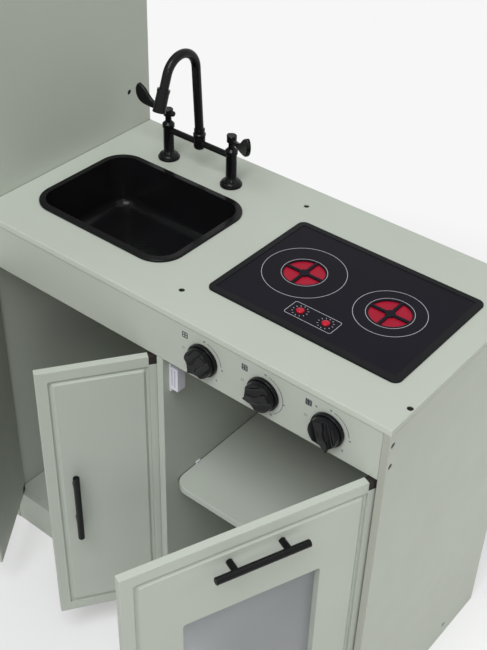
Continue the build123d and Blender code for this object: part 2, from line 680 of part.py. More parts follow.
def battery_cover():
    gap = 2 * BATTERY_DOOR_CLEARANCE
    outline = Rectangle(BATTERY_DOOR_WIDTH - gap, BATTERY_DOOR_LENGTH - gap)
    return slab(Pos(*BATTERY_CENTRE) * outline, HOB_TRAY_Z[0], HOB_TRAY_Z[0] + BATTERY_DOOR_THICKNESS)


def hob_plate():
    """Flat plate with four window sectors over each lens, and two button holes."""
    plate = slab(hob_outline(HOB_RIM + HOB_PLATE_CLEARANCE), *HOB_PLATE_Z)
    across = 2 * BURNER_WINDOW_RADIUS
    sectors = Circle(BURNER_WINDOW_RADIUS) - Circle(BURNER_HUB_RADIUS)
    sectors = sectors - Rectangle(BURNER_SPOKE, across) - Rectangle(across, BURNER_SPOKE)
    for centre in BURNERS:
        plate = plate - slab(Pos(*centre) * sectors, *HOB_PLATE_Z)
    for x, y in BUTTONS:
        hole = BUTTON_DIAMETER + 2 * BUTTON_CLEARANCE
        plate = plate - rod((x, y, HOB_PLATE_Z[0]), UP, hole, HOB_PLATE_THICKNESS)
    return plate


def burner_lenses():
    bottom = HOB_PLATE_Z[0] - LENS_THICKNESS
    return Compound([rod((*centre, bottom), UP, 2 * LENS_RADIUS, LENS_THICKNESS) for centre in BURNERS])


def hob_button(place):
    """Domed push-button held under the plate by its flange."""
    radius = BUTTON_DIAMETER / 2
    shoulder = HOB_PLATE_Z[1] + BUTTON_PROUD
    crown = shoulder + BUTTON_DOME
    bottom = BUTTON_FLANGE_Z - BUTTON_FLANGE_HEIGHT
    flange = radius + BUTTON_FLANGE
    side = Polyline(
        (0, 0, crown), (0, 0, bottom), (flange, 0, bottom), (flange, 0, BUTTON_FLANGE_Z),
        (radius, 0, BUTTON_FLANGE_Z), (radius, 0, shoulder),
    )
    sphere = (radius**2 + BUTTON_DOME**2) / (2 * BUTTON_DOME)
    halfway = asin(radius / sphere) / 2
    crest = (sphere * sin(halfway), 0, crown - sphere * (1 - cos(halfway)))
    dome = ThreePointArc((radius, 0, shoulder), crest, (0, 0, crown))
    return Pos(*place, 0) * revolve(make_face([*side.edges(), dome]), Axis.Z)


# Tap
TAP_Z = COUNTER_HEIGHT
BRIDGE_Z = TAP_Z + BRIDGE_HEIGHT
HUB_Z = (BRIDGE_Z - HUB_HEIGHT / 2, BRIDGE_Z + HUB_HEIGHT / 2)
SPOUT_BASE_Z = HUB_Z[1] + LEVER_GAP


def tap_pillar(side):
    """Pillar with a beaded flange, a stud below, a collar and a bore for the lever's pin."""
    flange = PILLAR_FLANGE_DIAMETER / 2
    step = flange - PILLAR_FLANGE_STEP
    bead = PILLAR_BEAD_DIAMETER / 2
    radius = PILLAR_DIAMETER / 2
    collar = PILLAR_COLLAR_DIAMETER / 2
    shoulder = PILLAR_SHOULDER_DIAMETER / 2
    stud = STUD_DIAMETER / 2
    stud_length = COUNTER_BOARD + NUT_HEIGHT + STUD_BEYOND_NUT
    bead_top = PILLAR_FLANGE_HEIGHT + PILLAR_BEAD_HEIGHT
    collar_base = PILLAR_HEIGHT - PILLAR_COLLAR_HEIGHT
    shoulder_base = PILLAR_HEIGHT - PILLAR_SHOULDER_HEIGHT
    lower = Polyline(
        (0, 0, PILLAR_HEIGHT), (0, 0, -stud_length), (stud, 0, -stud_length), (stud, 0, 0), (flange, 0, 0),
        (flange, 0, PILLAR_FLANGE_HEIGHT), (step, 0, PILLAR_FLANGE_HEIGHT),
    )
    swell = TangentArc((step, 0, PILLAR_FLANGE_HEIGHT), (bead, 0, bead_top), tangent=UP)
    upper = Polyline(
        (bead, 0, bead_top), (radius, 0, bead_top + PILLAR_CONE_HEIGHT), (radius, 0, collar_base),
        (collar, 0, collar_base + collar - radius), (collar, 0, shoulder_base), (shoulder, 0, PILLAR_HEIGHT),
        (0, 0, PILLAR_HEIGHT),
    )
    pillar = revolve(make_face([*lower.edges(), swell, *upper.edges()]), Axis.Z)
    pin_bore = LEVER_PIN_DIAMETER + 2 * RUNNING_CLEARANCE
    bore_depth = LEVER_PIN_LENGTH + LEVER_GAP
    pillar = pillar - rod((0, 0, PILLAR_HEIGHT - bore_depth), UP, pin_bore, bore_depth)
    inward = 1 if side == "left" else -1
    socket_start = (inward * (radius - BRIDGE_SOCKET), 0, BRIDGE_HEIGHT)
    socket = rod(socket_start, (inward, 0, 0), BRIDGE_DIAMETER + 2 * BRIDGE_CLEARANCE, radius)
    return Pos(TAP_SIDES[side], TAP_CENTRE[1], TAP_Z) * (pillar - socket)


def tap_nuts():
    """Hexagon nuts that clamp the pillars from below."""
    bottom = COUNTER_Z[0] - NUT_HEIGHT
    outline = RegularPolygon(NUT_ACROSS_FLATS / 2, 6, major_radius=False)
    outline = outline - Circle(STUD_DIAMETER / 2 + STUD_CLEARANCE)
    nuts = [slab(Pos(x, TAP_CENTRE[1]) * outline, bottom, COUNTER_Z[0]) for x in TAP_SIDES.values()]
    return Compound(nuts)


def tap_bridge():
    """Bar between the pillars, with a hub that the spout turns in."""
    reach = TAP_SPREAD / 2 - PILLAR_DIAMETER / 2 + BRIDGE_SOCKET - BRIDGE_CLEARANCE
    bar = rod((-reach, 0, BRIDGE_HEIGHT), RIGHTWARD, BRIDGE_DIAMETER, 2 * reach)
    hub = rod((0, 0, BRIDGE_HEIGHT - HUB_HEIGHT / 2), UP, HUB_DIAMETER, HUB_HEIGHT)
    hub = fillet(hub.faces().sort_by(Axis.Z)[0].edges(), HUB_ROUND)
    bore_depth = SPOUT_JOURNAL_LENGTH + LEVER_GAP
    bore_start = BRIDGE_HEIGHT + HUB_HEIGHT / 2 - bore_depth
    bore = rod((0, 0, bore_start), UP, SPOUT_JOURNAL_DIAMETER + 2 * RUNNING_CLEARANCE, bore_depth)
    return Pos(*TAP_CENTRE, TAP_Z) * (bar + hub - bore)


def spout_path():
    """Centreline in the tap's own frame: a leaning rise, one bend and a leaning drop."""
    lean = radians(SPOUT_LEAN)
    drop = radians(SPOUT_DROP_LEAN)
    start = Vector(0, 0, SPOUT_BASE_Z - TAP_Z + SPOUT_COLLAR_HEIGHT)
    rise_heading = Vector(0, -sin(lean), cos(lean))
    rise = Line(start, start + rise_heading * SPOUT_RISE)
    turn = 180 - SPOUT_LEAN - SPOUT_DROP_LEAN
    bend_centre = rise @ 1 + Vector(0, -cos(lean), -sin(lean)) * SPOUT_BEND_RADIUS

    def on_bend(angle):
        place = radians(SPOUT_LEAN + angle)
        return bend_centre + Vector(0, cos(place), sin(place)) * SPOUT_BEND_RADIUS

    bend = ThreePointArc(rise @ 1, on_bend(turn / 2), on_bend(turn))
    drop_heading = Vector(0, -sin(drop), -cos(drop))
    fall = Line(bend @ 1, bend @ 1 + drop_heading * SPOUT_DROP)
    return rise, bend, fall, drop_heading


def tap_spout():
    """Gooseneck tube on a collar, with a journal in the bridge's hub."""
    rise, bend, fall, _ = spout_path()
    section = Plane(origin=rise @ 0, z_dir=rise % 0) * Circle(SPOUT_DIAMETER / 2)
    tube = sweep(section, path=Wire([rise, bend, fall]))
    base = SPOUT_BASE_Z - TAP_Z
    journal = SPOUT_JOURNAL_DIAMETER / 2
    collar = SPOUT_COLLAR_DIAMETER / 2
    neck = SPOUT_NECK_DIAMETER / 2
    neck_top = base + SPOUT_COLLAR_HEIGHT + SPOUT_NECK_HEIGHT
    foot = turned([
        (0, base - SPOUT_JOURNAL_LENGTH), (journal, base - SPOUT_JOURNAL_LENGTH), (journal, base),
        (neck, base),
        (collar, base + SPOUT_COLLAR_EDGE), (collar, base + SPOUT_COLLAR_HEIGHT - SPOUT_COLLAR_EDGE),
        (neck, base + SPOUT_COLLAR_HEIGHT), (neck, neck_top), (0, neck_top),
    ])
    return Pos(*TAP_CENTRE, TAP_Z) * (tube + foot)


def nozzle_frame():
    """Plane at the lower end of the drop, its Z along the flow."""
    _, _, fall, heading = spout_path()
    start = Plane(origin=fall @ 1 - heading * NOZZLE_OVERLAP, z_dir=heading)
    return Pos(*TAP_CENTRE, TAP_Z) * start.location


def tap_nozzle():
    """Spray head: a sleeve over the end of the tube, lipped at its top, with a shallow face."""
    radius = NOZZLE_DIAMETER / 2
    lip = NOZZLE_LIP_DIAMETER / 2
    tube_bore = SPOUT_DIAMETER / 2 + NOZZLE_CLEARANCE
    sleeve = turned([
        (0, 0), (lip, 0), (lip, NOZZLE_LIP), (radius, NOZZLE_LIP), (lip, NOZZLE_LENGTH), (0, NOZZLE_LENGTH)
    ])
    sleeve = sleeve - rod((0, 0, 0), UP, 2 * tube_bore, NOZZLE_OVERLAP)
    face_start = (0, 0, NOZZLE_LENGTH - NOZZLE_FACE_DEPTH)
    return nozzle_frame() * (sleeve - rod(face_start, UP, NOZZLE_FACE_DIAMETER, NOZZLE_FACE_DEPTH))


LEVER_BASE = PILLAR_HEIGHT + LEVER_GAP
LEVER_HUB_BASE = LEVER_BASE + LEVER_WAIST_HEIGHT


def lever_core():
    """Pin, waist and hub of a lever, turned about the pillar's axis, with a round boss behind it."""
    pin = LEVER_PIN_DIAMETER / 2
    waist = LEVER_WAIST_DIAMETER / 2
    hub = LEVER_HUB_DIAMETER / 2
    top = LEVER_HUB_BASE + LEVER_HUB_HEIGHT
    core = turned([
        (0, LEVER_BASE - LEVER_PIN_LENGTH), (pin, LEVER_BASE - LEVER_PIN_LENGTH), (pin, LEVER_BASE),
        (waist, LEVER_BASE), (waist, LEVER_HUB_BASE), (hub, LEVER_HUB_BASE), (hub, top - EDGE_EASE),
        (hub - EDGE_EASE, top), (0, top),
    ])
    boss = rod((0, 0, LEVER_HUB_BASE + LEVER_ARM_RISE), LEFTWARD, LEVER_BOSS_DIAMETER, LEVER_BOSS_REACH)
    return core + fillet(boss.faces().sort_by(Axis.X)[0].edges(), LEVER_BOSS_ROUND)


def lever_leaf():
    """Upright leaf along +X: a level neck that swells downwards, curls up and ends in a point."""
    half = LEVER_NECK_HEIGHT / 2
    lean = radians(LEVER_TIP_LEAN)
    under_end = (-sin(lean), cos(lean))
    over_start = (-sin(lean), -cos(lean))
    under = Spline((0, -half), *LEVER_LEAF_UNDER, LEVER_LEAF_TIP, tangents=[(1, 0), under_end])
    over = Spline(LEVER_LEAF_TIP, *LEVER_LEAF_OVER, (0, half), tangents=[over_start, (-1, 0)])
    profile = make_face([under, over, Line(over @ 1, under @ 0)])
    leaf = extrude(Plane.XZ * profile, amount=LEVER_LEAF_THICKNESS / 2, both=True)
    rounded = leaf.edges().filter_by(lambda edge: edge.center().X > LEVER_NECK_LENGTH)
    return fillet(rounded, LEVER_LEAF_ROUND)


def tap_lever(side, heading):
    """Leaf lever: a hub on a pin, with its leaf turned to a heading about the pillar."""
    lever = lever_core() + Pos(0, 0, LEVER_HUB_BASE + LEVER_ARM_RISE) * lever_leaf()
    return Pos(TAP_SIDES[side], TAP_CENTRE[1], TAP_Z) * Rot(0, 0, heading) * lever


# Knobs


def knob_frame(x):
    """Plane on the control panel's face: X right, Y up, Z out to the front."""
    return Plane(origin=(x, PANEL_Y[0], KNOB_Z), x_dir=RIGHTWARD, z_dir=OUTWARD).location


def knob_grip(bottom, top):
    """Waisted bar along Y whose top falls away towards a point that overhangs the skirt."""
    half = KNOB_GRIP_WIDTH / 2
    outline = make_face(Polyline(
        (-half, -KNOB_GRIP_TAIL), (half, -KNOB_GRIP_TAIL), (half, KNOB_GRIP_SHOULDER), (0, KNOB_GRIP_POINT),
        (-half, KNOB_GRIP_SHOULDER), close=True,
    ))
    scoop = KNOB_GRIP_WAIST / 2 + KNOB_GRIP_SCOOP_RADIUS
    for side in (-1, 1):
        outline = outline - Pos(side * scoop, 0) * Circle(KNOB_GRIP_SCOOP_RADIUS)
    fall = make_face(Polyline(
        (KNOB_GRIP_FALL_START, top), (KNOB_GRIP_POINT, top), (KNOB_GRIP_POINT, top - KNOB_GRIP_FALL),
        close=True,
    ))
    grip = slab(outline, bottom, top) - extrude(Plane.YZ * fall, amount=half, both=True)
    ridge = grip.edges().filter_by(lambda edge: edge.center().Z > top - KNOB_GRIP_FALL)
    return fillet(ridge, KNOB_GRIP_ROUND)


def knob(x, pointer):
    """Skirted knob with a scooped drum and a bar grip across it. The pointer is clockwise from the top."""
    skirt_top = KNOB_STANDOFF + KNOB_SKIRT_DEPTH
    drum = skirt_top + KNOB_NECK_DEPTH
    face = drum + KNOB_BODY_DEPTH
    skirt = rod((0, 0, KNOB_STANDOFF), UP, 2 * KNOB_SKIRT_RADIUS, KNOB_SKIRT_DEPTH)
    skirt = fillet(skirt.faces().sort_by(Axis.Z)[-1].edges(), KNOB_EDGE_ROUND)
    neck = rod((0, 0, skirt_top), UP, 2 * KNOB_NECK_RADIUS, KNOB_NECK_DEPTH)
    body_top = KNOB_BODY_RADIUS - KNOB_BODY_TAPER
    body = Pos(0, 0, drum) * Cone(KNOB_BODY_RADIUS, body_top, KNOB_BODY_DEPTH, align=BASE_CENTRE)
    body = fillet(body.faces().sort_by(Axis.Z)[-1].edges(), KNOB_EDGE_ROUND)
    scoop_height = face - KNOB_FACE_SCOOP_DEPTH + KNOB_FACE_SCOOP_RADIUS
    for side in (-1, 1):
        scoop_x = side * (KNOB_GRIP_WAIST / 2 + KNOB_FACE_SCOOP_RADIUS)
        scoop_start = (scoop_x, -KNOB_SKIRT_RADIUS, scoop_height)
        body = body - rod(scoop_start, INWARD, 2 * KNOB_FACE_SCOOP_RADIUS, 2 * KNOB_SKIRT_RADIUS)
    grip = knob_grip(drum, face + KNOB_GRIP_DEPTH)
    bore_depth = SPINDLE_REACH - KNOB_STANDOFF + PIVOT_END_CLEARANCE
    bore = rod((0, 0, KNOB_STANDOFF), UP, SPINDLE_DIAMETER + 2 * RUNNING_CLEARANCE, bore_depth)
    return knob_frame(x) * Rot(0, 0, -pointer) * (skirt + neck + body + grip - bore)


def knob_spindles():
    """Fixed spindles that the knobs turn on, flanged behind the control panel."""
    spindles = []
    for x in KNOB_X:
        shank = rod((0, 0, -BOARD), UP, SPINDLE_DIAMETER, BOARD + SPINDLE_REACH)
        flange = rod((0, 0, -BOARD - SPINDLE_FLANGE), UP, SPINDLE_FLANGE_DIAMETER, SPINDLE_FLANGE)
        spindles.append(knob_frame(x) * (shank + flange))
    return Compound(spindles)


# Doors


def door_outline(length):
    """Plan of a door from its round hinge edge to a distance from the pivot axis."""
    half = BOARD / 2
    nose = ThreePointArc((0, half), (-half, 0), (0, -half))
    sides = Polyline((0, -half), (length, -half), (length, half), (0, half))
    return make_face([nose, *sides.edges()])


def door_leaf(door):
    """Leaf with a round hinge edge, a routed field on its front and notches for the pivot blocks."""
    half = BOARD / 2
    leaf = slab(door_outline(door.reach), door.bottom, door.top)
    width = door.reach + half - 2 * GROOVE_BORDER
    height = door.top - door.bottom - 2 * GROOVE_BORDER
    centre_x = (door.reach - half) / 2
    face = Plane(origin=(centre_x, -half, (door.bottom + door.top) / 2), x_dir=RIGHTWARD, z_dir=OUTWARD)
    pocket = RectangleRounded(width, height, GROOVE_CORNER_RADIUS)
    foot = RectangleRounded(width - 2 * GROOVE_FLOOR, height - 2 * GROOVE_FLOOR, GROOVE_CORNER_RADIUS)
    field = RectangleRounded(width - 2 * GROOVE_WIDTH, height - 2 * GROOVE_WIDTH, GROOVE_CORNER_RADIUS)
    raised = loft([Pos(0, 0, -GROOVE_DEPTH) * foot, field])
    groove = extrude(pocket, amount=-GROOVE_DEPTH) - raised
    leaf = leaf - face * groove
    free_edges = leaf.edges().filter_by(Axis.Z).sort_by(Axis.X)[-2:]
    leaf = chamfer(free_edges, EDGE_EASE)
    for z in pivot_spans(door):
        leaf = leaf - slab(door_outline(PIVOT_BLOCK_LENGTH - half), *z)
    return leaf


def pivot_spans(door):
    lower = (door.bottom, door.bottom + PIVOT_BLOCK_HEIGHT)
    upper = (door.top - PIVOT_BLOCK_HEIGHT, door.top)
    return [lower, upper]


def door_pivots(door):
    """Blocks let into the hinge corners, each with the pin that the door turns on."""
    outline = door_outline(PIVOT_BLOCK_LENGTH - BOARD / 2)
    lower, upper = [slab(outline, *z) for z in pivot_spans(door)]
    lower = lower + rod((0, 0, door.bottom), DOWN, PIVOT_PIN_DIAMETER, PIVOT_PIN_LENGTH)
    upper = upper + rod((0, 0, door.top), UP, PIVOT_PIN_DIAMETER, PIVOT_PIN_LENGTH)
    return Compound([door.hang(lower), door.hang(upper)])


def handle_place(name):
    """Centre of a door's handle and the direction of its bar, in the door's own frame."""
    door = DOORS[name]
    if name == "oven_door":
        return ((door.reach - BOARD / 2) / 2, door.top - OVEN_HANDLE_FROM_TOP), RIGHTWARD
    return (door.reach - HANDLE_FROM_FREE_EDGE, (door.bottom + door.top) / 2), UP


def handle_posts(name):
    """Where the two posts meet the front face of the door."""
    (x, z), bar = handle_place(name)
    front = -BOARD / 2
    return [along((x, front, z), bar, end * HANDLE_POST_PITCH / 2) for end in (-1, 1)]


def door_handle(name):
    """Bar on two posts, with a shallow socket in each end."""
    (x, z), bar = handle_place(name)
    centre = (x, -BOARD / 2 - HANDLE_STANDOFF, z)
    start = along(centre, bar, -HANDLE_LENGTH / 2)
    handle = rod(start, bar, HANDLE_DIAMETER, HANDLE_LENGTH)
    handle = chamfer(handle.edges().filter_by(GeomType.CIRCLE), HANDLE_END_CHAMFER)
    for end in (-1, 1):
        tip = along(centre, bar, end * HANDLE_LENGTH / 2)
        inward = tuple(-end * part for part in bar)
        handle = handle - rod(tip, inward, HANDLE_END_SOCKET_DIAMETER, HANDLE_END_SOCKET_DEPTH)
    for foot in handle_posts(name):
        handle = handle + rod(foot, OUTWARD, HANDLE_POST_DIAMETER, HANDLE_STANDOFF)
        handle = handle - rod(foot, OUTWARD, SCREW_HOLE, SCREW_GRIP + SCREW_CLEARANCE)
    return DOORS[name].hang(handle)


def handle_screws(name):
    """Screws through the door into the handle's posts."""
    screws = []
    for foot in handle_posts(name):
        inside = along(foot, INWARD, BOARD)
        head = rod(inside, INWARD, SCREW_HEAD_DIAMETER, SCREW_HEAD_HEIGHT)
        shank = rod(inside, OUTWARD, SCREW_DIAMETER, BOARD + SCREW_GRIP)
        screws.append(DOORS[name].hang(head + shank))
    return Compound(screws)


def door_panel(name):
    """Finished leaf with screw holes. The oven's also has a window and a recess for the strike plate."""
    door = DOORS[name]
    leaf = door_leaf(door)
    for foot in handle_posts(name):
        leaf = leaf - rod(foot, INWARD, SCREW_HOLE, BOARD)
    if name == "oven_door":
        opening = extrude(window_frame() * window_outline(0), amount=BOARD)
        leaf = leaf - opening - strike_block()
    return door.hang(leaf)


def window_frame():
    """Plane on the oven door's front face at the middle of its window, Z into the oven."""
    door = DOORS["oven_door"]
    x = (door.reach - BOARD / 2) / 2
    z = (door.top + door.bottom) / 2
    return Plane(origin=(x, -BOARD / 2, z), x_dir=RIGHTWARD, z_dir=INWARD)


def window_outline(grow):
    door = DOORS["oven_door"]
    width = door.reach + BOARD / 2 - 2 * WINDOW_SIDE_MARGIN + 2 * grow
    height = door.top - door.bottom - 2 * WINDOW_TOP_MARGIN + 2 * grow
    return RectangleRounded(width, height, WINDOW_CORNER_RADIUS)


def oven_window():
    """Clear pane fixed to the inside of the oven door."""
    pane = extrude(window_outline(PANE_OVERLAP), amount=PANE_THICKNESS)
    return DOORS["oven_door"].hang(window_frame() * Pos(0, 0, BOARD) * pane)


CATCH_Z = (BASE_DOOR_Z[1] - CATCH_FROM_DOOR_TOP - CATCH_HEIGHT, BASE_DOOR_Z[1] - CATCH_FROM_DOOR_TOP)


def oven_door_catch():
    """Magnet catch on the divider: a case with two pole slots in its front and an eared base."""
    front = PANEL_Y[1] + CATCH_GAP
    x = (DIVIDER_X[1], DIVIDER_X[1] + CATCH_WIDTH)
    case = block(x, (front, front + CATCH_DEPTH), CATCH_Z)
    ear_x = (x[0], x[0] + CATCH_EAR_THICKNESS)
    base = block(ear_x, (front, front + CATCH_DEPTH), (CATCH_Z[0] - CATCH_EAR, CATCH_Z[1] + CATCH_EAR))
    slot_z = (CATCH_Z[0] + CATCH_SLOT_END, CATCH_Z[1] - CATCH_SLOT_END)
    catch = case + base
    for share in (1 / 3, 2 / 3):
        centre = x[0] + CATCH_WIDTH * share
        slot_x = (centre - CATCH_SLOT_WIDTH / 2, centre + CATCH_SLOT_WIDTH / 2)
        catch = catch - block(slot_x, (front, front + CATCH_SLOT_DEPTH), slot_z)
    return catch


def strike_block():
    """Strike plate let into the inside of the oven door, in the door's own frame."""
    free = DOORS["oven_door"].reach - STRIKE_FROM_EDGE
    return block((free - STRIKE_WIDTH, free), (BOARD / 2 - STRIKE_THICKNESS, BOARD / 2), CATCH_Z)


def oven_strike_plate():
    return DOORS["oven_door"].hang(strike_block())


# All nodes
NODES = {
    "countertop": countertop(),
    "right_side_panel": right_side_panel(),
    "centre_divider": centre_divider(),
    "tower_right_panel": tower_right_panel(),
    "tower_left_panel": tower_left_panel(),
    "tower_top_panel": tower_top_panel(),
    "tower_middle_panel": tower_middle_panel(),
    "tower_bottom_panel": tower_bottom_panel(),
    "tower_plinth": tower_plinth(),
    "tower_back_panel": block(TOWER_X, (INNER_Y[1], BACK), (0, TOWER_HEIGHT)),
    "sink_bottom_panel": board(SINK_X, INNER_Y, FLOOR_Z),
    "oven_bottom_panel": board(OVEN_X, INNER_Y, FLOOR_Z),
    "base_plinth": base_plinth(),
    "base_rear_plinth": base_rear_plinth(),
    "base_back_panel": block((SINK_X[0], OVEN_X[1]), (INNER_Y[1], BACK), (0, COUNTER_Z[0])),
    "control_panel": control_panel(),
    "oven_shelf": shelf(OVEN_X, OVEN_SHELF_HEIGHT),
    "fridge_shelf": shelf(TOWER_X, FRIDGE_SHELF_HEIGHT),
    "shelf_pegs": shelf_pegs(),
    "sink_basin": sink_basin(),
    "hob_housing": hob_housing(),
    "hob_plate": hob_plate(),
    "burner_lenses": burner_lenses(),
    "hob_button_left": hob_button(BUTTONS[0]),
    "hob_button_right": hob_button(BUTTONS[1]),
    "hob_circuit_board": hob_circuit_board(),
    "battery_cover": battery_cover(),
    "tap_pillar_left": tap_pillar("left"),
    "tap_pillar_right": tap_pillar("right"),
    "tap_bridge": tap_bridge(),
    "tap_spout": tap_spout(),
    "tap_nozzle": tap_nozzle(),
    "tap_lever_left": tap_lever("left", LEFT_LEVER_HEADING),
    "tap_lever_right": tap_lever("right", RIGHT_LEVER_HEADING),
    "tap_nuts": tap_nuts(),
    "knob_spindles": knob_spindles(),
    "oven_window": oven_window(),
    "oven_door_catch": oven_door_catch(),
    "oven_strike_plate": oven_strike_plate(),
    "carcass_bolts": carcass_bolts(),
}
for x, (name, pointer) in zip(KNOB_X, KNOB_POINTERS.items()):
    NODES[name] = knob(x, pointer)
for name, door in DOORS.items():
    NODES[name] = door_panel(name)
    NODES[f"{name}_handle"] = door_handle(name)
    NODES[f"{name}_handle_screws"] = handle_screws(name)
    NODES[f"{name}_pivots"] = door_pivots(door)

os.makedirs("parts", exist_ok=True)
for name, shape in NODES.items():
    export_step(shape, f"parts/{name}.step")
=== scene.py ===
import json
from math import cos, pi, radians, sin

import bmesh
import bpy
from mathutils import Euler, Matrix, Vector


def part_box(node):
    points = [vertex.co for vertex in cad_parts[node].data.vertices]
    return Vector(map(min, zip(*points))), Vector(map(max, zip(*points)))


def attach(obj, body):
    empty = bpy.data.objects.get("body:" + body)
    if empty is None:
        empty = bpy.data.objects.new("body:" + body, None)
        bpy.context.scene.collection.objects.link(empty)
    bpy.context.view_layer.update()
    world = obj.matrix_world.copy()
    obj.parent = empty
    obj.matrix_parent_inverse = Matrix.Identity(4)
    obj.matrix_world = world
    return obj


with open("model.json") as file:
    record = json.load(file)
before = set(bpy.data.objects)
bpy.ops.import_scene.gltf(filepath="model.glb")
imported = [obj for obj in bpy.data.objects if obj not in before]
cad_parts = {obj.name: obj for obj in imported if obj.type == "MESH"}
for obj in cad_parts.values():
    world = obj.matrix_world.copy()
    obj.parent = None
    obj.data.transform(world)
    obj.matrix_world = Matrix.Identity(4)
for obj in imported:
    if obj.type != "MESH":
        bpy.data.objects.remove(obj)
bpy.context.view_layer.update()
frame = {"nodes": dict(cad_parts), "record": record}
nodes = frame["nodes"]
scene = bpy.context.scene
MM = 0.001


def linear(red, green, blue):
    """Colour of a shader socket from the 0 to 255 numbers of a screen."""

    def channel(value):
        share = value / 255
        return share / 12.92 if share <= 0.04045 else ((share + 0.055) / 1.055) ** 2.4

    return channel(red), channel(green), channel(blue), 1.0


# Colours
PAINT = linear(182, 188, 178)
PAINT_SHADE = linear(178, 183, 173)
# Paler colour painted along the board edges as a highlight
PAINT_EDGE_HIGHLIGHT = linear(194, 198, 188)
COUNTER_EDGE = linear(190, 195, 183)
# Painted shade on the right side panel's front-facing edge
SIDE_FRONT_PAINTED_SHADE = linear(166, 168, 158)
# Painted shade laid into corners, creases and joints
PAINT_CREASE_SHADE = linear(84, 88, 78)
BACK_PAINT = linear(174, 179, 168)
BLACK = linear(12, 12, 13)
BLACK_WORN = linear(26, 26, 29)
SINK_BLACK = linear(17, 17, 18)
# Painted sheen on the sink, laid in patches and along the edges
SINK_SHEEN = linear(22, 22, 24)
HOB_CHARCOAL = linear(22, 21, 28)
HOB_CHARCOAL_PALE = linear(26, 25, 32)
HOB_RIM = linear(20, 21, 22)
LENS_RED = linear(160, 22, 46)
LENS_RED_DEEP = linear(148, 18, 42)
BUTTON_RED = linear(184, 22, 44)
PRINT_GREY = linear(172, 172, 178)
PRINT_DARK = linear(44, 47, 56)
PRINT_FAINT = linear(120, 124, 122)
LILAC_WHITE = linear(212, 210, 222)
PIVOT_BROWN = linear(48, 43, 41)
BOLT_BROWN = linear(40, 32, 29)
SCREW_GREY = linear(150, 150, 150)
CIRCUIT_GREEN = linear(30, 92, 48)
PANE_GREY = linear(184, 187, 188)
FLOOR_WHITE = linear(238, 238, 238)
FLOOR_PALE = linear(240, 240, 240)
BACKGROUND = linear(247, 247, 247)


# Surface numbers: ranges of noise that are used, masks, edges and grain
NOISE_MIDDLE = (0.35, 0.65)
NOISE_WIDE = (0.3, 0.7)
EDGE_MASK = (0.8, 0.995)
CREASE_MASK = (0.15, 0.6)
PAINT_EDGE_RADIUS = 0.9 * MM
PAINT_EDGE_HIGHLIGHT_SHARE = 0.55
CREASE_REACH = 4.0 * MM
CREASE_SHADE_DEPTH = 0.7
MOTTLING_SCALE = 4.0
PAINT_SHEEN_SCALE = 30.0
PAINT_ROUGHNESS = (0.44, 0.54)
PAINT_SPECULAR = 0.2
PEEL_SCALE = 700.0
PEEL_STRENGTH = 0.05
PEEL_HEIGHT = 0.2 * MM
FRONT_FACING = (-0.5, -0.9)
PLASTIC_EDGE_RADIUS = 0.5 * MM
PLASTIC_EDGE_WEAR_AND_SHEEN = 0.5
PLASTIC_PATCH_SCALE = 14.0
PLASTIC_PATCH_SHARE = 0.6
PLASTIC_SHEEN_SCALE = 45.0
PLASTIC_GRAIN = 1800.0
PLASTIC_SPECULAR = 0.22
GRAIN_STRENGTH = 0.08
GRAIN_HEIGHT = 0.1 * MM
BRUSH_STRETCH = (1.0, 1.0, 14.0)
BRUSH_SCALE = 400.0
BRUSH_ROUGHNESS = (0.35, 0.5)
BRUSH_METALLIC = 0.9
INK_THIN = 0.82
INK_SCALE = 900.0
INK_SHEEN_SCALE = 300.0
INK_ROUGHNESS = (0.45, 0.6)
HAZE_SCALE = 6.0
HAZE_SHARE = 0.3
PANE_ROUGHNESS = (0.18, 0.26)
PANE_TRANSMISSION = 0.6
PANE_IOR = 1.2


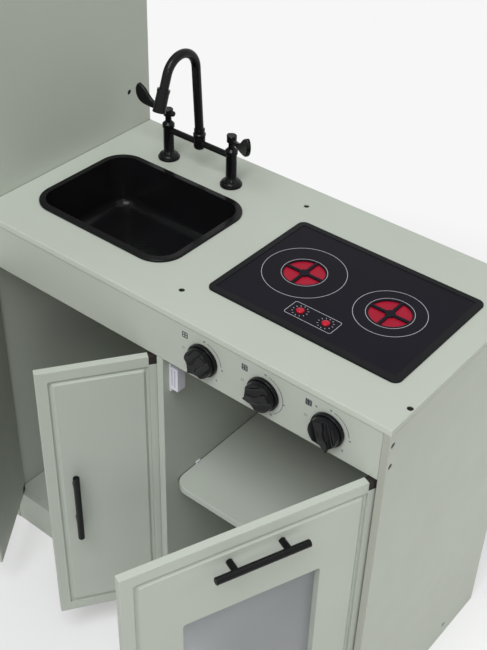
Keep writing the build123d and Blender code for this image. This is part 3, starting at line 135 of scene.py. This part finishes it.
class Recipe:
    """One procedural material: a Principled shader and the nodes that feed it."""

    def __init__(self, name):
        self.material = bpy.data.materials.new(name)
        self.material.use_nodes = True
        self.tree = self.material.node_tree
        self.shader = self.tree.nodes["Principled BSDF"]
        self.coordinates = self.tree.nodes.new("ShaderNodeTexCoord")

    def set(self, socket, value):
        self.shader.inputs[socket].default_value = value

    def node(self, kind, **settings):
        made = self.tree.nodes.new(kind)
        for key, value in settings.items():
            setattr(made, key, value)
        return made

    def link(self, output, target):
        self.tree.links.new(output, target)

    def noise(self, scale, detail=2.0):
        made = self.node("ShaderNodeTexNoise")
        made.inputs["Scale"].default_value = scale
        made.inputs["Detail"].default_value = detail
        self.link(self.coordinates.outputs["Object"], made.inputs["Vector"])
        return made.outputs["Fac"]

    def remap(self, value, low, high, to_low, to_high):
        made = self.node("ShaderNodeMapRange")
        for socket, number in zip(("From Min", "From Max", "To Min", "To Max"), (low, high, to_low, to_high)):
            made.inputs[socket].default_value = number
        self.link(value, made.inputs["Value"])
        return made.outputs["Result"]

    def blend(self, factor, first, second):
        """Mix of two colours, each a fixed colour or another node's output."""
        made = self.node("ShaderNodeMix", data_type="RGBA")
        self.link(factor, made.inputs["Factor"])
        for socket, colour in (("A", first), ("B", second)):
            target = next(s for s in made.inputs if s.name == socket and s.type == "RGBA")
            if isinstance(colour, tuple):
                target.default_value = colour
            else:
                self.link(colour, target)
        return next(s for s in made.outputs if s.type == "RGBA")

    def soft_edges(self, radius):
        """Bevelled normal, and a mask that is 1 along edges and 0 on open faces."""
        bevel = self.node("ShaderNodeBevel", samples=4)
        bevel.inputs["Radius"].default_value = radius
        plain = self.node("ShaderNodeNewGeometry")
        dot = self.node("ShaderNodeVectorMath", operation="DOT_PRODUCT")
        self.link(bevel.outputs["Normal"], dot.inputs[0])
        self.link(plain.outputs["Normal"], dot.inputs[1])
        mask = self.remap(dot.outputs["Value"], *EDGE_MASK, 1.0, 0.0)
        return bevel.outputs["Normal"], mask

    def crease_shade(self, reach):
        """Painted shade mask from ambient occlusion: 1 deep in a corner or joint and 0 on open faces."""
        shade = self.node("ShaderNodeAmbientOcclusion", samples=6)
        shade.inputs["Distance"].default_value = reach
        return self.remap(shade.outputs["AO"], *CREASE_MASK, 1.0, 0.0)

    def bump(self, height, strength, distance, normal=None):
        made = self.node("ShaderNodeBump")
        made.inputs["Strength"].default_value = strength
        made.inputs["Distance"].default_value = distance
        self.link(height, made.inputs["Height"])
        if normal is not None:
            self.link(normal, made.inputs["Normal"])
        return made.outputs["Normal"]

    def finish(self, colour=None, roughness=None, normal=None):
        for socket, output in (("Base Color", colour), ("Roughness", roughness), ("Normal", normal)):
            if output is not None:
                self.link(output, self.shader.inputs[socket])
        return self.material


def paint(name, main, shade, front_edge=None):
    """Sprayed satin paint on fibreboard: faint mottling, orange peel, painted shade in creases and joints,
    and a painted highlight along the softened edges.
    """
    recipe = Recipe(name)
    normal, edge = recipe.soft_edges(PAINT_EDGE_RADIUS)
    mottling = recipe.remap(recipe.noise(MOTTLING_SCALE, 3.0), *NOISE_MIDDLE, 0.0, 1.0)
    colour = recipe.blend(mottling, main, shade)
    # Front-facing faces take their own colour: a paler edge tone on the countertop, painted shade on the
    # right side panel
    if front_edge:
        parts = recipe.node("ShaderNodeSeparateXYZ")
        recipe.link(recipe.coordinates.outputs["Normal"], parts.inputs["Vector"])
        faces_front = recipe.remap(parts.outputs["Y"], *FRONT_FACING, 0.0, 1.0)
        colour = recipe.blend(faces_front, colour, front_edge)
    # Painted highlight: the edges are blended towards a paler colour
    wear_and_sheen = recipe.remap(edge, 0.0, 1.0, 0.0, PAINT_EDGE_HIGHLIGHT_SHARE)
    colour = recipe.blend(wear_and_sheen, colour, PAINT_EDGE_HIGHLIGHT)
    # Painted shade: corners, creases and joints are darkened by ambient occlusion
    painted_crease_shade = recipe.remap(recipe.crease_shade(CREASE_REACH), 0.0, 1.0, 0.0, CREASE_SHADE_DEPTH)
    colour = recipe.blend(painted_crease_shade, colour, PAINT_CREASE_SHADE)
    roughness = recipe.remap(recipe.noise(PAINT_SHEEN_SCALE), *NOISE_WIDE, *PAINT_ROUGHNESS)
    peel = recipe.bump(recipe.noise(PEEL_SCALE, 1.0), PEEL_STRENGTH, PEEL_HEIGHT, normal)
    recipe.set("Specular IOR Level", PAINT_SPECULAR)
    return recipe.finish(colour, roughness, peel)


def moulded(name, main, wear_and_sheen, rough_low, rough_high, grain=PLASTIC_GRAIN, specular=PLASTIC_SPECULAR):
    """Moulded plastic: a fine grain, uneven sheen and slightly rubbed edges; on the sink the paler patches
    and edges are a painted sheen.
    """
    recipe = Recipe(name)
    recipe.set("Specular IOR Level", specular)
    normal, edge = recipe.soft_edges(PLASTIC_EDGE_RADIUS)
    uneven = recipe.noise(PLASTIC_PATCH_SCALE, 3.0)
    patches = recipe.remap(uneven, *NOISE_MIDDLE, 0.0, PLASTIC_PATCH_SHARE)
    patches_of_wear_and_sheen = recipe.blend(patches, main, wear_and_sheen)
    colour = recipe.blend(recipe.remap(edge, 0.0, 1.0, 0.0, PLASTIC_EDGE_WEAR_AND_SHEEN), patches_of_wear_and_sheen, wear_and_sheen)
    roughness = recipe.remap(recipe.noise(PLASTIC_SHEEN_SCALE), *NOISE_WIDE, rough_low, rough_high)
    grained = recipe.bump(recipe.noise(grain, 1.0), GRAIN_STRENGTH, GRAIN_HEIGHT, normal)
    return recipe.finish(colour, roughness, grained)


def brushed(name, main, wear_and_sheen):
    """Plated steel with fine brush lines."""
    recipe = Recipe(name)
    stretch = recipe.node("ShaderNodeMapping")
    stretch.inputs["Scale"].default_value = BRUSH_STRETCH
    recipe.link(recipe.coordinates.outputs["Object"], stretch.inputs["Vector"])
    lines = recipe.node("ShaderNodeTexNoise")
    lines.inputs["Scale"].default_value = BRUSH_SCALE
    recipe.link(stretch.outputs["Vector"], lines.inputs["Vector"])
    colour = recipe.blend(lines.outputs["Fac"], main, wear_and_sheen)
    roughness = recipe.remap(lines.outputs["Fac"], *NOISE_WIDE, *BRUSH_ROUGHNESS)
    recipe.set("Metallic", BRUSH_METALLIC)
    return recipe.finish(colour, roughness)


def printed(name, ink):
    """Screen-printed ink with a slightly uneven lay."""
    recipe = Recipe(name)
    thin = tuple(INK_THIN * channel for channel in ink[:3]) + (1.0,)
    colour = recipe.blend(recipe.noise(INK_SCALE, 1.0), thin, ink)
    roughness = recipe.remap(recipe.noise(INK_SHEEN_SCALE), *NOISE_WIDE, *INK_ROUGHNESS)
    return recipe.finish(colour, roughness)


def smoked_pane():
    """Thin clear pane with a grey film and a faint haze."""
    recipe = Recipe("smoked_pane")
    haze = recipe.noise(HAZE_SCALE)
    colour = recipe.blend(recipe.remap(haze, *NOISE_WIDE, 0.0, HAZE_SHARE), PANE_GREY, LILAC_WHITE)
    roughness = recipe.remap(haze, *NOISE_WIDE, *PANE_ROUGHNESS)
    recipe.set("Transmission Weight", PANE_TRANSMISSION)
    recipe.set("IOR", PANE_IOR)
    return recipe.finish(colour, roughness)


PAINT_MATERIAL = paint("sage_paint", PAINT, PAINT_SHADE)
COUNTER_MATERIAL = paint("sage_counter_paint", PAINT, PAINT_SHADE, COUNTER_EDGE)
# Right side panel: its front-facing edge carries painted shade
SIDE_MATERIAL = paint("sage_side_paint", PAINT, PAINT_SHADE, SIDE_FRONT_PAINTED_SHADE)
BACK_MATERIAL = paint("sage_back_paint", BACK_PAINT, PAINT_SHADE)
BLACK_MATERIAL = moulded("satin_black_plastic", BLACK, BLACK_WORN, 0.18, 0.26, specular=0.16)
# Sink: its second tone is a painted sheen in patches and along the edges
SINK_MATERIAL = moulded("sink_black_plastic", SINK_BLACK, SINK_SHEEN, 0.14, 0.2, grain=900.0, specular=0.12)
HOB_MATERIAL = moulded(
    "hob_charcoal_print", HOB_CHARCOAL, HOB_CHARCOAL_PALE, 0.34, 0.44, grain=2500.0, specular=0.05
)
HOB_RIM_MATERIAL = moulded("hob_rim_plastic", HOB_RIM, BLACK_WORN, 0.32, 0.42, specular=0.08)
LENS_MATERIAL = moulded("burner_red", LENS_RED, LENS_RED_DEEP, 0.3, 0.4, specular=0.12)
BUTTON_MATERIAL = moulded("button_red", BUTTON_RED, LENS_RED, 0.2, 0.3, specular=0.2)
WHITE_MATERIAL = moulded("lilac_white_plastic", LILAC_WHITE, FLOOR_WHITE, 0.4, 0.5)
PIVOT_MATERIAL = moulded("pivot_brown_plastic", PIVOT_BROWN, BLACK_WORN, 0.4, 0.5)
CIRCUIT_MATERIAL = moulded("circuit_green", CIRCUIT_GREEN, PRINT_FAINT, 0.4, 0.5)
BOLT_MATERIAL = brushed("bolt_brown_steel", BOLT_BROWN, BLACK_WORN)
SCREW_MATERIAL = brushed("screw_steel", SCREW_GREY, PRINT_GREY)
PANE_MATERIAL = smoked_pane()
PRINT_GREY_MATERIAL = printed("print_grey", PRINT_GREY)
PRINT_DARK_MATERIAL = printed("print_dark", PRINT_DARK)

SLOT_MATERIALS = {
    "painted_board": PAINT_MATERIAL,
    "back_board": BACK_MATERIAL,
    "satin_black": BLACK_MATERIAL,
    "hob_print": HOB_MATERIAL,
    "lens": LENS_MATERIAL,
    "red_plastic": BUTTON_MATERIAL,
    "circuit": CIRCUIT_MATERIAL,
    "white_plastic": WHITE_MATERIAL,
    "dark_plastic": PIVOT_MATERIAL,
    "clear_pane": PANE_MATERIAL,
    "steel": SCREW_MATERIAL,
    "dark_steel": BOLT_MATERIAL,
}
NODE_MATERIALS = {
    "countertop": COUNTER_MATERIAL,
    "right_side_panel": SIDE_MATERIAL,
    "sink_basin": SINK_MATERIAL,
    "hob_housing": HOB_RIM_MATERIAL,
}


def dress_nodes():
    """Give every node its material, by its own name or by its slot in the record."""
    slots = {entry["node"]: entry["material_slot"] for entry in frame["record"]["subparts"]}
    for name, node in nodes.items():
        material = NODE_MATERIALS.get(name) or SLOT_MATERIALS[slots[name]]
        node.data.materials.clear()
        node.data.materials.append(material)


# Printed marks: thin flat solids that lie on the face that carries them
INK_THICKNESS = 0.06 * MM
INK_SINK = 0.02 * MM
ARC_STEP = radians(4)


class Sheet:
    """Flat marks drawn in the plane of one face, each a closed outline raised by the ink's thickness."""

    def __init__(self, name, place, material):
        self.mesh = bmesh.new()
        self.name = name
        self.place = place
        self.material = material

    def outline(self, points):
        low = [self.mesh.verts.new((x, y, -INK_SINK)) for x, y in points]
        high = [self.mesh.verts.new((x, y, INK_THICKNESS)) for x, y in points]
        self.mesh.faces.new(list(reversed(low)))
        self.mesh.faces.new(high)
        for i in range(len(points)):
            j = (i + 1) % len(points)
            self.mesh.faces.new((low[i], low[j], high[j], high[i]))

    def band(self, inner, outer):
        """Closed band between two loops of as many points."""
        loops = []
        for points in (inner, outer):
            for height in (-INK_SINK, INK_THICKNESS):
                loops.append([self.mesh.verts.new((x, y, height)) for x, y in points])
        inner_low, inner_high, outer_low, outer_high = loops
        around_band = (inner_high, outer_high, outer_low, inner_low)
        walls = zip(around_band, around_band[1:] + around_band[:1])
        for first, second in walls:
            for i in range(len(inner)):
                j = (i + 1) % len(inner)
                self.mesh.faces.new((first[i], second[i], second[j], first[j]))

    def ring(self, centre, radius, width):
        loops = [arc_points(centre, radius + side * width / 2, 0, 2 * pi)[:-1] for side in (-1, 1)]
        self.band(*loops)

    def arc(self, centre, radius, width, start, end):
        """Arc between two angles clockwise from the top."""
        outer = arc_points(centre, radius + width / 2, pi / 2 - start, pi / 2 - end)
        inner = arc_points(centre, radius - width / 2, pi / 2 - end, pi / 2 - start)
        self.outline(list(reversed(outer + inner)))

    def bar(self, centre, length, width, angle):
        """Rectangle along an angle clockwise from the top."""
        along = Vector((sin(angle), cos(angle))) * length / 2
        across = Vector((cos(angle), -sin(angle))) * width / 2
        middle = Vector(centre)
        signs = ((1, -1), (-1, -1), (-1, 1), (1, 1))
        self.outline([middle + ahead * along + aside * across for ahead, aside in signs])

    def frame(self, centre, width, height, radius, line):
        """Outline of a rectangle with round corners."""
        self.band(
            corner_points(centre, width - line, height - line, max(radius - line / 2, line / 2)),
            corner_points(centre, width + line, height + line, radius + line / 2),
        )

    def lay(self):
        data = bpy.data.meshes.new(self.name)
        bmesh.ops.recalc_face_normals(self.mesh, faces=self.mesh.faces)
        self.mesh.to_mesh(data)
        self.mesh.free()
        data.materials.append(self.material)
        piece = bpy.data.objects.new(self.name, data)
        piece.matrix_world = self.place
        scene.collection.objects.link(piece)
        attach(piece, "carcass")
        return piece


def arc_points(centre, radius, start, end):
    steps = max(2, round(abs(end - start) / ARC_STEP))
    angles = [start + (end - start) * i / steps for i in range(steps + 1)]
    return [(centre[0] + radius * cos(a), centre[1] + radius * sin(a)) for a in angles]


def corner_points(centre, width, height, radius):
    """Rectangle with round corners, anticlockwise, with the same count of points at any size."""
    points = []
    for quarter, (side_x, side_y) in enumerate(((1, 1), (-1, 1), (-1, -1), (1, -1))):
        middle = (
            centre[0] + side_x * (width / 2 - radius),
            centre[1] + side_y * (height / 2 - radius),
        )
        points += arc_points(middle, radius, quarter * pi / 2, (quarter + 1) * pi / 2)
    return points


# Hob print
HOB_LINE = 0.65 * MM
BURNER_RINGS = ((47.3 * MM, 25.6 * MM), (39.8 * MM, 26.2 * MM))
CONTROL_BOX_MARGIN = (13.4 * MM, 11.5 * MM)
CONTROL_BOX_CORNER = 2.5 * MM
DIAL_RADIUS = 8.6 * MM
DIAL_DASH = (1.7 * MM, 0.7 * MM)
DIAL_DASHES = 12


def node_middle(name):
    low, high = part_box(name)
    return (low + high) / 2


def hob_print():
    """Rings round the burners, a frame round the buttons and a dial of dashes round each button."""
    low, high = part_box("burner_lenses")
    lens_radius = (high.y - low.y) / 2
    burners = [(low.x + lens_radius, node_middle("burner_lenses").y),
               (high.x - lens_radius, node_middle("burner_lenses").y)]
    top = Matrix.Translation((0, 0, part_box("hob_plate")[1].z))
    sheet = Sheet("hob_print_lines", top, PRINT_GREY_MATERIAL)
    for centre, radii in zip(burners, BURNER_RINGS):
        for radius in radii:
            sheet.ring(centre, radius, HOB_LINE)
    buttons = [node_middle(f"hob_button_{side}").xy for side in ("left", "right")]
    middle = (buttons[0] + buttons[1]) / 2
    width = (buttons[1] - buttons[0]).x + 2 * CONTROL_BOX_MARGIN[0]
    sheet.frame(middle, width, 2 * CONTROL_BOX_MARGIN[1], CONTROL_BOX_CORNER, HOB_LINE)
    for button in buttons:
        for dash in range(DIAL_DASHES):
            angle = 2 * pi * dash / DIAL_DASHES
            place = button + Vector((sin(angle), cos(angle))) * DIAL_RADIUS
            sheet.bar(place, *DIAL_DASH, angle)
    return sheet.lay()


# Marks round the knobs
SCALE_RADIUS = 24.5 * MM
SCALE_LINE = 0.6 * MM
SCALE_START = 12.0
START_RING_ANGLE = 3.0
SCALE_ENDS = {"left": 84.0, "middle": 147.0, "right": 84.0}
SCALE_MARKS = {"left": (93.0, 135.0), "middle": (93.0, 156.0), "right": (93.0, 135.0, 321.0)}
SCALE_MARK = (2.4 * MM, 1.3 * MM)
START_RING = 1.0 * MM
REST_MARK = (3.4 * MM, 2.2 * MM)
REST_ANGLE = 274.0
REST_RADIUS = 28.0 * MM
ICON_SIZE = 6.6 * MM
ICON_PLACE = (-25.5 * MM, 20.0 * MM)
ICON_BARS = {"left": 1, "middle": 2, "right": 3}


def knob_height():
    low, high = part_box("knob_spindles")
    return (low.z + high.z) / 2


def around(angle, radius):
    """Place at a radius from a knob's axis, at an angle in degrees clockwise from the top."""
    return radius * sin(radians(angle)), radius * cos(radians(angle))


def knob_marks(name):
    """Scale arc with small marks beyond it, a frame at the left and a framed icon of bars above that."""
    middle = node_middle(f"knob_{name}")
    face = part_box("control_panel")[0].y
    stand_up = Euler((pi / 2, 0, 0)).to_matrix().to_4x4()
    upright = Matrix.Translation((middle.x, face, knob_height())) @ stand_up
    sheet = Sheet(f"knob_marks_{name}", upright, PRINT_DARK_MATERIAL)
    sheet.arc((0, 0), SCALE_RADIUS, SCALE_LINE, radians(SCALE_START), radians(SCALE_ENDS[name]))
    sheet.ring(around(START_RING_ANGLE, SCALE_RADIUS), START_RING, SCALE_LINE)
    for angle in SCALE_MARKS[name]:
        sheet.bar(around(angle, SCALE_RADIUS + SCALE_MARK[1]), *SCALE_MARK, radians(angle))
    sheet.frame(around(REST_ANGLE, REST_RADIUS), *REST_MARK, SCALE_LINE, SCALE_LINE / 2)
    sheet.frame(ICON_PLACE, ICON_SIZE, ICON_SIZE, SCALE_LINE, 2 * SCALE_LINE)
    sheet.bar(ICON_PLACE, ICON_SIZE - SCALE_LINE, 2 * SCALE_LINE, 0.0)
    bars = ICON_BARS[name]
    for bar in range(bars):
        share = (bar + 1) / (bars + 1) - 0.5
        place = (ICON_PLACE[0], ICON_PLACE[1] + share * ICON_SIZE)
        sheet.bar(place, ICON_SIZE - SCALE_LINE, 2 * SCALE_LINE, pi / 2)
    return sheet.lay()


# Stage: floor, lights, world and camera
CAMERA_PLACE = Vector((0.6544, -0.8393, 1.2472))
CAMERA_AZIMUTH = radians(38.04)
CAMERA_ELEVATION = radians(38.0)
CAMERA_ROLL = radians(1.79)
FOCAL_PIXELS = 1128.0
PICTURE_HEIGHT = 650.0
SENSOR = 36.0
FLOOR_SIZE = 12.0
FLOOR_FADE = (0.5, 1.0)
FLOOR_SHARE = 0.35
FLOOR_ROUGHNESS = 0.9
FLOOR_SPECULAR = 0.1
FLOOR_NOISE_SCALE = 1.5
WORLD_LEVEL = 0.33
WORLD_TINT = (1.0, 0.99, 0.95, 1.0)


def camera_shader(tree, lit, shown):
    """Mix that shows one shader to the camera, and to mirrors and glass, and another to all other light."""
    path = tree.nodes.new("ShaderNodeLightPath")
    seen = path.outputs["Is Camera Ray"]
    for kind in ("Is Glossy Ray", "Is Transmission Ray"):
        either = tree.nodes.new("ShaderNodeMath")
        either.operation = "MAXIMUM"
        tree.links.new(seen, either.inputs[0])
        tree.links.new(path.outputs[kind], either.inputs[1])
        seen = either.outputs["Value"]
    mix = tree.nodes.new("ShaderNodeMixShader")
    tree.links.new(seen, mix.inputs["Fac"])
    tree.links.new(lit, mix.inputs[1])
    tree.links.new(shown, mix.inputs[2])
    return mix.outputs["Shader"]


def add_floor():
    """Pale floor that fades into the background away from the object and keeps its shadow near it."""
    bpy.ops.mesh.primitive_plane_add(size=FLOOR_SIZE)
    floor = bpy.context.object
    floor.name = "floor"
    recipe = Recipe("floor_white")
    recipe.set("Roughness", FLOOR_ROUGHNESS)
    recipe.set("Specular IOR Level", FLOOR_SPECULAR)
    recipe.finish(recipe.blend(recipe.noise(FLOOR_NOISE_SCALE), FLOOR_WHITE, FLOOR_PALE))
    plain = recipe.node("ShaderNodeEmission")
    plain.inputs["Color"].default_value = BACKGROUND
    distance = recipe.node("ShaderNodeVectorMath", operation="LENGTH")
    recipe.link(recipe.coordinates.outputs["Object"], distance.inputs[0])
    fade = recipe.remap(distance.outputs["Value"], *FLOOR_FADE, FLOOR_SHARE, 1.0)
    shown = recipe.node("ShaderNodeMixShader")
    recipe.link(fade, shown.inputs["Fac"])
    recipe.link(recipe.shader.outputs["BSDF"], shown.inputs[1])
    recipe.link(plain.outputs["Emission"], shown.inputs[2])
    shader = camera_shader(recipe.tree, recipe.shader.outputs["BSDF"], shown.outputs["Shader"])
    recipe.link(shader, recipe.tree.nodes["Material Output"].inputs["Surface"])
    floor.data.materials.append(recipe.material)


def add_world():
    world = bpy.data.worlds.new("studio")
    scene.world = world
    world.use_nodes = True
    tree = world.node_tree
    lit = tree.nodes["Background"]
    lit.inputs["Color"].default_value = WORLD_TINT
    lit.inputs["Strength"].default_value = WORLD_LEVEL
    shown = tree.nodes.new("ShaderNodeBackground")
    shown.inputs["Color"].default_value = BACKGROUND
    shader = camera_shader(tree, lit.outputs["Background"], shown.outputs["Background"])
    tree.links.new(shader, tree.nodes["World Output"].inputs["Surface"])


def add_lamp(name, place, target, size, power, colour):
    data = bpy.data.lights.new(name, "AREA")
    data.shape = "SQUARE"
    data.size = size
    data.energy = power
    data.color = colour
    lamp = bpy.data.objects.new(name, data)
    lamp.location = place
    lamp.rotation_euler = (Vector(target) - Vector(place)).to_track_quat("-Z", "Y").to_euler()
    scene.collection.objects.link(lamp)


def add_camera():
    data = bpy.data.cameras.new("camera")
    data.sensor_width = SENSOR
    data.lens = SENSOR * FOCAL_PIXELS / PICTURE_HEIGHT
    camera = bpy.data.objects.new("camera", data)
    turn = Matrix.Rotation(CAMERA_AZIMUTH, 4, "Z") @ Matrix.Rotation(pi / 2 - CAMERA_ELEVATION, 4, "X")
    camera.matrix_world = Matrix.Translation(CAMERA_PLACE) @ turn @ Matrix.Rotation(CAMERA_ROLL, 4, "Z")
    scene.collection.objects.link(camera)
    scene.camera = camera


dress_nodes()
hob_print()
for knob in SCALE_ENDS:
    knob_marks(knob)
add_floor()
add_world()
add_lamp(
    "top_softbox",
    place=(0.2, 0.1, 2.8), target=(0.1, 0.0, 0.5), size=2.2, power=6.0, colour=(0.93, 0.97, 1.0),
)
add_lamp(
    "front_softbox",
    place=(0.6, -1.45, 2.8), target=(0.1, 0.0, 0.35), size=1.5, power=60.0, colour=(0.97, 0.985, 1.0),
)
add_lamp(
    "side_softbox",
    place=(0.95, 0.3, 0.75), target=(0.95, 0.3, 0.0), size=0.5, power=2.6, colour=(1.0, 0.98, 0.98),
)
add_lamp(
    "key_strip",
    place=(1.33, -1.41, 1.42), target=(0.1, 0.0, 0.45), size=0.3, power=3.2, colour=(1.0, 1.0, 1.0),
)
add_camera()
scene.view_settings.view_transform = "Standard"
